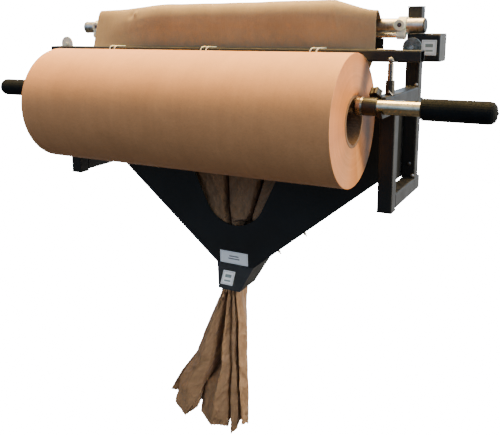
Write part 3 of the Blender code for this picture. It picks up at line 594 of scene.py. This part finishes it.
def spline(points, count):
    """Points evenly spaced on a smooth curve through the given ones."""
    p = np.array(points, float)
    p = np.vstack([2 * p[0] - p[1], p, 2 * p[-1] - p[-2]])
    t = np.linspace(0, 1, 13)[:-1, None]
    out = []
    for i in range(1, len(p) - 2):
        a, b, c, d = p[i - 1], p[i], p[i + 1], p[i + 2]
        curve = (2 * a - 5 * b + 4 * c - d) * t**2
        bend = (3 * b - a - 3 * c + d) * t**3
        out.append(0.5 * (2 * b + (c - a) * t + curve + bend))
    out = np.vstack(out + [p[-2:-1]])
    walked = np.concatenate([[0], np.cumsum(np.linalg.norm(np.diff(out, axis=0), axis=1))])
    even = np.linspace(0, walked[-1], count)
    return np.stack([np.interp(even, walked, out[:, k]) for k in range(out.shape[1])], 1), walked[-1]


# how the sheet is folded, seen from above, at heights from the roller to the torn end:
# (sideways, towards the front) for each of the sixteen corners that the folds keep
EVEN = [(-1 + 2 * k / 15, 0.0) for k in range(16)]
FOLDED = {
    0.130: [(0.2920 * x, 0.0002 * (-1) ** k) for k, (x, _) in enumerate(EVEN)],
    0.020: [(0.2400 * x, (0.006, -0.005, 0.004, -0.008)[k % 4]) for k, (x, _) in enumerate(EVEN)],
    -0.140: [(-0.135, -0.010), (-0.100, -0.030), (-0.130, 0.010), (-0.080, 0.011), (-0.034, 0.010),
        (-0.048, -0.034),
             (-0.036, -0.030), (-0.030, 0.010), (0.012, 0.013), (0.054, 0.010), (0.040, -0.034),
                 (0.058, -0.030),
             (0.0555, 0.008), (0.104, 0.013), (0.070, -0.034), (0.132, -0.036)],
    -0.220: [(-0.088, -0.010), (-0.060, -0.034), (-0.084, 0.004), (-0.052, 0.010), (-0.022, 0.010),
        (-0.032, -0.036),
             (-0.022, -0.034), (-0.019, 0.010), (0.010, 0.013), (0.036, 0.010), (0.026, -0.036),
                 (0.038, -0.034),
             (0.0375, 0.008), (0.070, 0.013), (0.046, -0.036), (0.086, -0.036)],
    -0.320: [(-0.034, -0.014), (-0.024, -0.030), (-0.032, 0.010), (-0.020, 0.016), (-0.011, 0.012),
        (-0.013, -0.030),
             (-0.009, 0.000), (-0.003, 0.016), (0.004, 0.012), (0.002, -0.030), (0.008, 0.014),
                 (0.015, 0.012),
             (0.012, -0.028), (0.021, 0.015), (0.031, 0.010), (0.020, -0.030)],
    -0.386: [(-0.0200, -0.014), (-0.0150, -0.020), (-0.0195, 0.010), (-0.0120, 0.016), (-0.0075, 0.012),
        (-0.0090, -0.020),
             (-0.0065, 0.006), (-0.0015, 0.017), (0.0035, 0.012), (0.0015, -0.020), (0.0060, 0.014),
                 (0.0100, 0.012),
             (0.0080, -0.018), (0.0140, 0.015), (0.0195, 0.010), (0.0120, -0.020)],
    -0.450: [(-0.052, -0.012), (-0.034, -0.020), (-0.049, 0.006), (-0.034, 0.014), (-0.0205, 0.009),
        (-0.0170, -0.022),
             (-0.0125, -0.006), (-0.005, 0.017), (0.005, 0.009), (0.0065, -0.018), (0.010, 0.014),
                 (0.018, 0.010),
             (0.015, -0.016), (0.025, 0.015), (0.0365, 0.004), (0.010, -0.022)],
    -0.560: [(-0.104, -0.016), (-0.062, -0.024), (-0.098, 0.002), (-0.072, 0.014), (-0.046, 0.009),
        (-0.040, -0.024),
             (-0.031, -0.010), (-0.016, 0.018), (-0.001, 0.008), (0.0005, -0.018), (0.006, 0.013),
                 (0.018, 0.009),
             (0.014, -0.014), (0.026, 0.016), (0.0425, 0.002), (-0.020, -0.026)],
    -0.650: [(-0.153, -0.018), (-0.085, -0.028), (-0.144, 0.000), (-0.110, 0.016), (-0.080, 0.006),
        (-0.082, -0.022),
             (-0.074, -0.004), (-0.038, 0.020), (-0.008, 0.004), (-0.010, -0.020), (-0.001, 0.013),
                 (0.018, 0.008),
             (0.013, -0.014), (0.026, 0.017), (0.0435, 0.002), (-0.040, -0.028)],
    -0.735: [(-0.190, -0.022), (-0.095, -0.030), (-0.166, -0.002), (-0.122, 0.016), (-0.090, 0.004),
        (-0.096, -0.020),
             (-0.094, -0.002), (-0.050, 0.018), (-0.012, 0.002), (-0.018, -0.020), (-0.006, 0.013),
                 (0.016, 0.008),
             (0.012, -0.014), (0.026, 0.017), (0.044, 0.002), (-0.050, -0.028)],
}
# how far down the torn end reaches at each of those corners
TORN = [-0.688, -0.682, -0.698, -0.716, -0.690, -0.684, -0.702, -0.714, -0.716, -0.700, -0.728, -0.706,
    -0.697, -0.692, -0.690, -0.684]


def corners_at(z):
    """The fold corners at one height, eased between the heights where they are given."""
    heights = list(FOLDED)
    if z >= heights[0]:
        return np.array(FOLDED[heights[0]])
    for high, low in zip(heights, heights[1:]):
        if z >= low:
            t = (high - z) / (high - low)
            return np.array(FOLDED[high]) * (1 - t) + np.array(FOLDED[low]) * t
    return np.array(FOLDED[heights[-1]])


def folded_line(corners, rounding):
    """The folded line with every corner rounded, and the corner number each of its points belongs to."""
    line, marks = [corners[0]], [0.0]
    for k in range(1, len(corners) - 1):
        start = corners[k] + (corners[k - 1] - corners[k]) * rounding
        end = corners[k] + (corners[k + 1] - corners[k]) * rounding
        for t in (0.0, 0.25, 0.5, 0.75, 1.0):
            line.append(start * (1 - t) ** 2 + corners[k] * 2 * t * (1 - t) + end * t * t)
            marks.append(k + (t - 0.5) * 2 * rounding)
    line.append(corners[-1])
    marks.append(len(corners) - 1.0)
    return np.array(line), np.array(marks)


def room(y, z):
    """How far the paper at (y, z) may stand forward and back inside the funnel's plates."""
    front = np.interp(z, [-0.400, -0.386, -0.339, -0.100, 0.000], [-0.160, -0.1153, -0.0897, -0.0897, -0.130])
    back = np.interp(z, [-0.400, -0.386, -0.339], [-0.045, -0.0584, -0.0177])
    return y - front, back - y


def gathered_row(y, z, goal, u, rounding):
    """One row of the sheet, its folds just deep enough to take up the sheet's width."""
    corners = corners_at(z)
    front, back = room(y, z)
    limit = np.where(corners[:, 1] > 0, front, back)
    low, high = 0.0, 40.0
    for _ in range(30):
        depth = (low + high) / 2
        bent = corners.copy()
        bent[:, 1] = limit * np.tanh(corners[:, 1] * depth / limit)
        line, marks = folded_line(bent, rounding)
        walked = np.concatenate([[0], np.cumsum(np.linalg.norm(np.diff(line, axis=0), axis=1))])
        if walked[-1] < goal:
            low = depth
        else:
            high = depth
    at = (u + 1) / 2 * walked[-1]
    return np.interp(at, walked, line[:, 0]), np.interp(at, walked, line[:, 1]), np.interp(at, walked, marks)


def build_sheet():
    """One sheet of kraft from the roll to the torn end: under the bar, up in a loose arch, over
    the roller, gathered in the funnel, and hanging in loose folds below the throat."""
    columns = 257
    arch_rows = 96
    fall_rows = 230
    u = np.linspace(-1, 1, columns)
    x_flat = u * SHEET_WIDTH / 2
    arch = {}
    for side, points in ARCH.items():
        arch[side], arch_length = spline(LEAD + points + WRAP, arch_rows)
    lefty = step(-x_flat, 0.115, 0.315)[None, :, None]
    righty = step(x_flat, 0.215, 0.3048)[None, :, None]
    yz = arch["middle"][:, None, :] * (1 - lefty - righty) + arch["left"][:, None,
        :] * lefty + arch["right"][:, None, :] * righty
    points = np.zeros((arch_rows, columns, 3))
    points[..., 1:] = yz
    progress = np.linspace(0, 1, arch_rows)
    drawn = 1 - 0.032 * step(progress, 0.66, 0.97)
    points[..., 0] = x_flat[None, :] * drawn[:, None]

    tail_path, tail_length = spline([WRAP[-1]] + FALL, fall_rows + 1)
    tail_path = tail_path[1:]
    tail = np.zeros((fall_rows, columns, 3))
    marks = np.zeros((fall_rows, columns))
    for i, (y, z) in enumerate(tail_path):
        near = float(step(0.135 - z, 0.0, 0.09))
        squeezed = float(step(-z, 0.27, 0.34) * (1 - step(-z, 0.40, 0.50)))
        goal = (0.5850 + (SHEET_WIDTH - 0.5850) * near) * (1 - 0.18 * squeezed)
        rounding = 0.34 - 0.20 * float(step(-0.30 - z, 0.0, 0.15))
        across, forward, marks[i] = gathered_row(y, z, goal, u, rounding)
        tail[i, :, 0] = across
        tail[i, :, 1] = y - forward
        tail[i, :, 2] = z
    # the torn end: each column stops at its own height, with small teeth
    stop = np.interp(marks[-1], np.arange(len(TORN)), TORN)
    for j in range(columns):
        tooth = 0.0016 * wobble(j * 0.9, 4.0, 0.0) + 0.0022 * wobble(j * 0.31, 9.0,
            0.0) + (0.0011 if j % 3 else -0.0011)
        keep = (stop[j] + tooth + 0.56) / (tail[-1, j, 2] + 0.56)
        below = tail[:, j, 2] < -0.56
        tail[below, j, 2] = -0.56 + (tail[below, j, 2] + 0.56) * keep

    grid = np.vstack([points, tail])
    rows = len(grid)
    # creases: small sharp ones where the paper is gathered, long soft ones on the arch
    du = np.gradient(grid, axis=1)
    dv = np.gradient(grid, axis=0)
    normal = np.cross(du, dv)
    normal /= np.maximum(np.linalg.norm(normal, axis=2, keepdims=True), 1e-9)
    for i in range(rows):
        on_arch = i < arch_rows
        z_mid = grid[i, columns // 2, 2]
        if on_arch:
            free = float(step(np.array(progress[i]), 0.36,
                0.50) * (1 - step(np.array(progress[i]), 0.70, 0.80)))
        else:
            free = float(step(np.array(0.12 - z_mid), 0.0, 0.08))
        hanging = 0.0 if on_arch else float(step(np.array(-0.40 - z_mid), 0.0, 0.15))
        for j in range(columns):
            a, b = x_flat[j], i * 0.004
            if on_arch:
                soft = 0.0016 * wobble(a * 7, b * 5, 1.0) + 0.0007 * wobble(a * 24, b * 9, 3.0)
                line = 0.0009 * max(0.0, 1 - abs(a - 0.236 + (b - 0.2) * 0.12) / 0.006)
                nick = math.exp(-((a + 0.192) / 0.0035) ** 2 - ((progress[i] - 0.60) / 0.025) ** 2)
                dent = math.exp(-((a + 0.204) / 0.009) ** 2 - ((progress[i] - 0.60) / 0.035) ** 2)
                move = soft + line + 0.0030 * nick - 0.0022 * dent
            else:
                ridge = 1 - 2 * abs(wobble(a * 30, b * 6, 5.0))
                sharp = 1 - 2 * abs(wobble(a * 70 + 3, b * 26, 8.0))
                move = 0.0006 * ridge + 0.00045 * sharp
                long_crease = 1 - 2 * abs(wobble(a * 17 + b * 11, b * 4, 2.0))
                move += hanging * (0.0034 * wobble(a * 26, b * 8,
                    2.0) + 0.0016 * long_crease + 0.0010 * (1 - 2 * abs(wobble(a * 90, b * 40, 6.0))))
            grid[i, j] += normal[i, j] * move * free
    vertices = grid.reshape(-1, 3)
    sheet = mesh_object("kraft_sheet", vertices, grid_faces(rows, columns), SHEET_PAPER, "frame")
    layer = sheet.data.uv_layers.new(name="sheet")
    lengths = np.concatenate([np.linspace(0, arch_length, arch_rows),
        arch_length + np.linspace(0, tail_length, fall_rows + 1)[1:]])
    for loop in sheet.data.loops:
        i, j = divmod(loop.vertex_index, columns)
        layer.data[loop.index].uv = (x_flat[j] + 0.3048, lengths[i])
    thick = sheet.modifiers.new("Thickness", "SOLIDIFY")
    thick.thickness = 0.00022
    thick.offset = 0
    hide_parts("paper_web", "paper_gather", "paper_tail")


# ---------------------------------------------------------------- small hardware


def hex_bolt(name, place, axis, body, radius=0.0034, height=0.0026, shank=0.004):
    turn = Vector((0, 0, 1)).rotation_difference(Vector(axis).normalized()).to_matrix()
    rows = [(0.0, radius * 0.55, -shank), (0.0, radius * 0.55, 0.0), (1.0, radius, 0.0),
        (1.0, radius, height * 0.8), (1.0, radius * 0.86, height)]
    vertices = []
    for hexed, r, h in rows:
        for j in range(24):
            angle = 2 * math.pi * j / 24
            flat = r * math.cos(math.pi / 6) / math.cos((angle % (math.pi / 3)) - math.pi / 6) if hexed else r
            vertices.append(Vector(place) + turn @ Vector((flat * math.cos(angle), flat * math.sin(angle),
                h)))
    faces = grid_faces(len(rows), 24, closed=True)
    faces.append(tuple(range(24))[::-1])
    faces.append(tuple((len(rows) - 1) * 24 + j for j in range(24)))
    obj = mesh_object(name, vertices, faces, ZINC, body)
    obj.data.set_sharp_from_angle(angle=math.radians(30))
    return obj


def build_hardware():
    """The small fixings that the solids leave out: screws, hitch wires, bearing bosses, clips and bolts."""
    for side, sign in SIDES:
        post_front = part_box(side + "_rear_post")[0].y
        for k, (x, z) in enumerate(((0.3410, -0.0995), (0.3475, -0.1215), (0.3470, 0.0455))):
            pan = [(0.0001, -0.0012), (0.0030, -0.0010), (0.0034, 0.0), (0.0031, 0.0012), (0.0018, 0.0019),
                (0.0001, 0.0021)]
            lathe(f"{side}_post_screw_{k}", pan, (sign * x, post_front + 0.0002, z), (0, -1, 0),
                DARK_STEEL if k == 0 else ZINC, "frame", 24)

        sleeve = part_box(side + "_rod_sleeve")
        x = sign * (abs(sleeve[0].x + sleeve[1].x) / 2)
        y = sleeve[0].y - 0.0006
        z = sleeve[0].z
        hitch = [(x + 0.0004, y + 0.0004, z + 0.0082), (x + 0.0020, y - 0.0002, z + 0.0062),
                 (x + 0.0040, y + 0.0008, z + 0.0032), (x + 0.0058, y + 0.0026, z + 0.0006)]
        wire(side + "_hitch_wire", hitch, 0.00065, ZINC, "frame")

        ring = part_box(side + "_roller_bearing")
        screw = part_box(side + "_bearing_screw")
        centre = (screw[0] + screw[1]) / 2
        boss = [(0.0040, -0.0016), (0.0098, -0.0016), (0.0098, 0.0016), (0.0088, 0.0028), (0.0044, 0.0028),
            (0.0040, 0.0020)]
        boss_at = (centre.x, ring[0].y + 0.0010, centre.z)
        lathe(side + "_bearing_boss", boss, boss_at, (0, -1, 0), NYLON, "frame", 32,
            ends=False)

    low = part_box("brake_bar")[0]
    top = low.z + BAR_HEIGHT
    front = low.y
    for k, x in enumerate((-0.226, -0.012, 0.205)):
        for n in range(2):
            at = x + n * 0.0115
            clip = [(at - 0.0024, front - 0.0010, top - 0.0060), (at - 0.0012, front - 0.0008, top - 0.0020),
                    (at + 0.0006, front + 0.0010, top + 0.0009), (at + 0.0040, front + 0.0120, top + 0.0013),
                    (at + 0.0060, front + 0.0230, top + 0.0010)]
            wire(f"bar_clip_{k}_{n}", clip, 0.0012, NYLON, "bar")

    strip = [(0.318, front + 0.0030, top + 0.0006), (0.330, front + 0.0028, top + 0.0009),
        (0.346, front + 0.0024, top + 0.0006)]
    wire("bar_strip", strip, 0.0009, ZINC, "bar")
    outward = Vector((0.6353, 0, -0.7723)).normalized()
    for k, (x, z) in enumerate(((0.1540, -0.2480), (0.0980, -0.2940))):
        place = Vector((x, -0.0865, z)) + outward * 0.0006
        hex_bolt(f"funnel_bolt_{k}", place, outward, "frame", 0.0036, 0.0030)
        lathe(f"funnel_bolt_end_{k}", [(0.0016, 0.0), (0.0016, 0.0068), (0.0011, 0.0076)], place, outward,
            ZINC, "frame", 16)


def weld(name, start, end, radius=0.0016):
    """A short lumpy bead along a joint, under the same coat as the frame."""
    a, b = Vector(start), Vector(end)
    run = (b - a)
    turn = Vector((0, 0, 1)).rotation_difference(run.normalized()).to_matrix()
    rows = max(6, int(run.length / 0.0012))
    vertices = []
    for i in range(rows):
        t = i / (rows - 1)
        swell = radius * (0.85 + 0.22 * math.sin(i * 2.1) + 0.10 * wobble(i * 0.7, a.x * 50, a.z * 50))
        if i in (0, rows - 1):
            swell *= 0.4
        for j in range(10):
            angle = 2 * math.pi * j / 10
            vertices.append(a + run * t + turn @ Vector((swell * math.cos(angle), swell * math.sin(angle),
                0)))
    faces = grid_faces(rows, 10, closed=True)
    faces.append(tuple(range(10))[::-1])
    faces.append(tuple((rows - 1) * 10 + j for j in range(10)))
    mesh_object(name, vertices, faces, FRAME_BLACK, "frame")


def build_welds():
    for side, _ in SIDES:
        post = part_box(side + "_front_post")
        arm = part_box(side + "_top_arm")
        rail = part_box(side + "_bottom_rail")
        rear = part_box(side + "_rear_post")
        x0, x1 = post[0].x + 0.0025, post[1].x - 0.0025
        weld(side + "_weld_arm_front", (x0, post[0].y, arm[0].z), (x1, post[0].y, arm[0].z))
        weld(side + "_weld_arm_back", (x0, post[1].y, arm[0].z), (x1, post[1].y, arm[0].z))
        weld(side + "_weld_arm_top", (x0, rear[0].y, arm[1].z), (x1, rear[0].y, arm[1].z))
        weld(side + "_weld_arm_under", (x0, rear[0].y, arm[0].z), (x1, rear[0].y, arm[0].z))
        weld(side + "_weld_rail_front", (x0, post[1].y, rail[1].z), (x1, post[1].y, rail[1].z))
        weld(side + "_weld_rail_back", (x0, rear[0].y, rail[1].z), (x1, rear[0].y, rail[1].z))


# ---------------------------------------------------------------- studio


def add_camera():
    yaw = math.radians(28.387)
    pitch = math.radians(12.027)
    roll = math.radians(-0.448)
    forward = Vector((-math.sin(yaw) * math.cos(pitch), math.cos(yaw) * math.cos(pitch), -math.sin(pitch)))
    right = Vector((math.cos(yaw), math.sin(yaw), 0))
    up = right.cross(forward)
    x_axis = math.cos(roll) * right + math.sin(roll) * up
    y_axis = math.cos(roll) * up - math.sin(roll) * right
    data = bpy.data.cameras.new("camera")
    data.lens = 45.9
    data.sensor_width = 36
    data.shift_y = -0.1154
    data.clip_start = 0.05
    camera = bpy.data.objects.new("camera", data)
    bpy.context.scene.collection.objects.link(camera)
    turn = Matrix((x_axis, y_axis, -forward)).transposed().to_4x4()
    camera.matrix_world = Matrix.Translation((0.6282, -1.1869, 0.1541)) @ turn
    bpy.context.scene.camera = camera


def area_light(name, place, aim, size, power, color=(1, 1, 1), spread=180):
    data = bpy.data.lights.new(name, "AREA")
    data.spread = math.radians(spread)
    data.shape = "RECTANGLE"
    data.size, data.size_y = size
    data.energy = power
    data.color = color
    light = bpy.data.objects.new(name, data)
    bpy.context.scene.collection.objects.link(light)
    light.location = place
    light.rotation_euler = (Vector(aim) - Vector(place)).to_track_quat("-Z", "Y").to_euler()


def build_studio():
    world = bpy.data.worlds.new("studio")
    world.use_nodes = True
    tree = world.node_tree
    background = tree.nodes["Background"]

    def add(kind, operation=None):
        made = tree.nodes.new(kind)
        if operation:
            made.operation = operation
        return made

    def ramp(source, *stops):
        made = add("ShaderNodeValToRGB")
        elements = made.color_ramp.elements
        while len(elements) < len(stops):
            elements.new(0.5)
        for element, (position, level, tint) in zip(elements, stops):
            element.position = (position + 1) / 2
            element.color = (*(level / 4 * part for part in tint), 1)
        scaled = add("ShaderNodeMapRange")
        scaled.inputs["From Min"].default_value = -1
        tree.links.new(source, scaled.inputs["Value"])
        tree.links.new(scaled.outputs["Result"], made.inputs["Fac"])
        return made.outputs["Color"]

    # white overhead and behind, as in a tent of paper, and dark below and in front
    direction = add("ShaderNodeTexCoord").outputs["Generated"]
    split = add("ShaderNodeSeparateXYZ")
    tree.links.new(direction, split.inputs[0])
    cool, plain, warm = (0.66, 1.0, 1.48), (0.85, 1.0, 1.12), (1.0, 0.80, 0.46)
    overhead = ramp(split.outputs["Z"], (-1, 0.012, cool), (-0.3, 0.022, cool), (0.0, 0.28, cool),
        (0.35, 0.95, cool), (0.75, 1.2, warm), (1.0, 2.2, warm))
    behind = ramp(split.outputs["Y"], (-1, 0.0, plain), (0.1, 0.0, plain), (0.55, 0.7, plain),
        (1.0, 1.1, plain))
    level = add("ShaderNodeMapRange")
    tree.links.new(split.outputs["Z"], level.inputs["Value"])
    level.inputs["From Min"].default_value = -0.45
    level.inputs["From Max"].default_value = 0.05
    dimmed = add("ShaderNodeVectorMath", "SCALE")
    tree.links.new(behind, dimmed.inputs[0])
    tree.links.new(level.outputs["Result"], dimmed.inputs["Scale"])
    total = add("ShaderNodeVectorMath", "ADD")
    tree.links.new(overhead, total.inputs[0])
    tree.links.new(dimmed.outputs[0], total.inputs[1])
    tree.links.new(total.outputs[0], background.inputs["Color"])
    path = add("ShaderNodeLightPath")
    white = add("ShaderNodeBackground")
    white.inputs["Strength"].default_value = 22
    background.inputs["Strength"].default_value = 4 * WORLD_LEVEL
    either = add("ShaderNodeMixShader")
    tree.links.new(path.outputs["Is Camera Ray"], either.inputs["Fac"])
    tree.links.new(background.outputs[0], either.inputs[1])
    tree.links.new(white.outputs[0], either.inputs[2])
    tree.links.new(either.outputs[0], tree.nodes["World Output"].inputs["Surface"])
    bpy.context.scene.world = world

    floor_mesh = bpy.data.meshes.new("floor")
    work = bmesh.new()
    bmesh.ops.create_grid(work, x_segments=1, y_segments=1, size=30)
    work.to_mesh(floor_mesh)
    work.free()
    floor = bpy.data.objects.new("floor", floor_mesh)
    bpy.context.scene.collection.objects.link(floor)
    floor.location = (0, 0, cad_box[0][2] - 0.12)
    material = bpy.data.materials.new("pale_floor")
    material.use_nodes = True
    shader = material.node_tree.nodes["Principled BSDF"]
    shader.inputs["Base Color"].default_value = (0.03, 0.03, 0.03, 1)
    shader.inputs["Roughness"].default_value = 0.9
    shader.inputs["Emission Color"].default_value = (1, 1, 1, 1)
    nodes, links = material.node_tree.nodes, material.node_tree.links
    glow = nodes.new("ShaderNodeLightPath")
    place = nodes.new("ShaderNodeSeparateXYZ")
    links.new(nodes.new("ShaderNodeTexCoord").outputs["Object"], place.inputs[0])
    rear = nodes.new("ShaderNodeMapRange")
    links.new(place.outputs["Y"], rear.inputs["Value"])
    rear.inputs["From Min"].default_value = 0.3
    rear.inputs["From Max"].default_value = 1.4
    rear.inputs["To Max"].default_value = 0.9
    scale = nodes.new("ShaderNodeMapRange")
    links.new(glow.outputs["Is Camera Ray"], scale.inputs["Value"])
    links.new(rear.outputs["Result"], scale.inputs["To Min"])
    scale.inputs["To Max"].default_value = 22
    links.new(scale.outputs["Result"], shader.inputs["Emission Strength"])
    floor_mesh.materials.append(material)

    area_light("top_softbox", (-0.10, 0.12, 1.5), (0, -0.22, 0.0), (2.2, 0.6), 165, (1.0, 0.62, 0.18))
    area_light("side_softbox", (1.8, 0.05, 0.25), (0.3, -0.2, 0.0), (0.9, 1.0), 36, (1.0, 0.83, 0.56))
    area_light("low_fill", (1.0, -1.0, -0.45), (-0.05, -0.1, -0.60), (0.35, 0.30), 0.30, (0.95, 1.0, 1.02),
        26)


dress_nodes()
build_roll()
build_sheet()
build_hardware()
build_welds()
add_camera()
build_studio()
